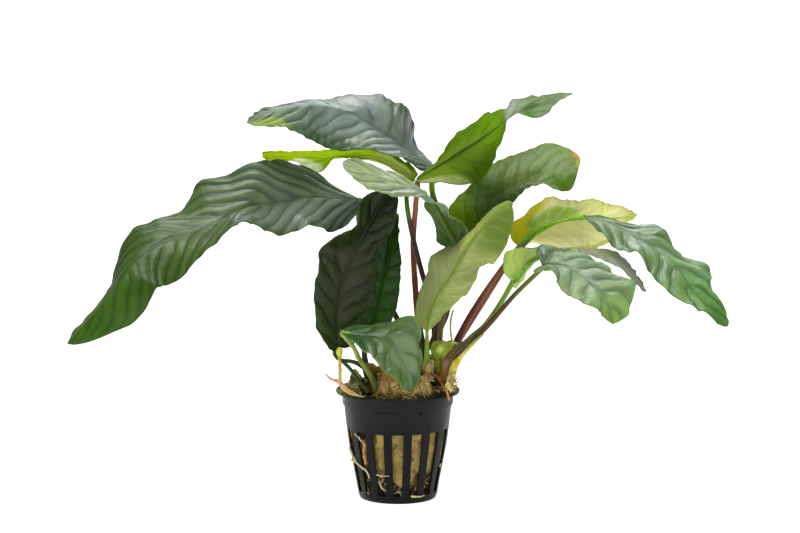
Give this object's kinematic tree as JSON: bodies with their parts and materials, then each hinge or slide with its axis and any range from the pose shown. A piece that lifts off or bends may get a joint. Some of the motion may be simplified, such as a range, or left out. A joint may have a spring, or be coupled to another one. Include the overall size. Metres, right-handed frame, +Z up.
{
  "type": "potted anubias",
  "caption": "Aquarium plant in a slotted net pot: long-stalked pointed leaves fan out from a creeping rhizome that lies on a fibre plug, with a few thick roots over the rim.",
  "frame": {"origin": "centre of the pot's underside, on the surface that the pot stands on", "axes": "+Z up; the front of the plant, as pictured, faces -Y; +X runs to the right along the fan of leaves, the longest way across"},
  "size_m": [0.2889, 0.095, 0.1834],
  "materials": {
    "pot_plastic": "satin",
    "plug_fibre": "matte",
    "rhizome_skin": "satin",
    "root_skin": "matte",
    "leaf_dark": "satin",
    "leaf_sage": "satin",
    "leaf_bright": "satin",
    "leaf_yellow": "satin",
    "stalk_brown": "satin",
    "stalk_green": "satin"
  },
  "bodies": {
    "root": {"pot": "pot_plastic", "plug": "plug_fibre", "rhizome": "rhizome_skin", "crown_bud": "rhizome_skin", "young_bud": "rhizome_skin", "root_over_left_rim": "root_skin", "root_hanging_left": "root_skin", "root_right_sheath": "root_skin", "root_over_right_rim": "root_skin", "aerial_root": "root_skin", "leaf_long_left": "leaf_sage", "stalk_long_left": "stalk_brown", "leaf_upper_left": "leaf_sage", "stalk_upper_left": "stalk_brown", "leaf_lime": "leaf_bright", "stalk_lime": "stalk_brown", "leaf_arching": "leaf_sage", "stalk_arching": "stalk_green", "leaf_upper_right": "leaf_bright", "stalk_upper_right": "stalk_brown", "leaf_broad_right": "leaf_sage", "stalk_broad_right": "stalk_green", "leaf_centre": "leaf_bright", "stalk_centre": "stalk_green", "leaf_dark_front": "leaf_dark", "stalk_dark_front": "stalk_green", "leaf_dark_back": "leaf_dark", "stalk_dark_back": "stalk_green", "leaf_low_front": "leaf_sage", "stalk_low_front": "stalk_green", "leaf_yellow": "leaf_yellow", "stalk_yellow": "stalk_brown", "leaf_far_right": "leaf_sage", "stalk_far_right": "stalk_brown", "leaf_right_arch": "leaf_sage", "stalk_right_arch": "stalk_green", "leaf_right_front": "leaf_sage", "stalk_right_front": "stalk_brown"}
  },
  "joints": []
}
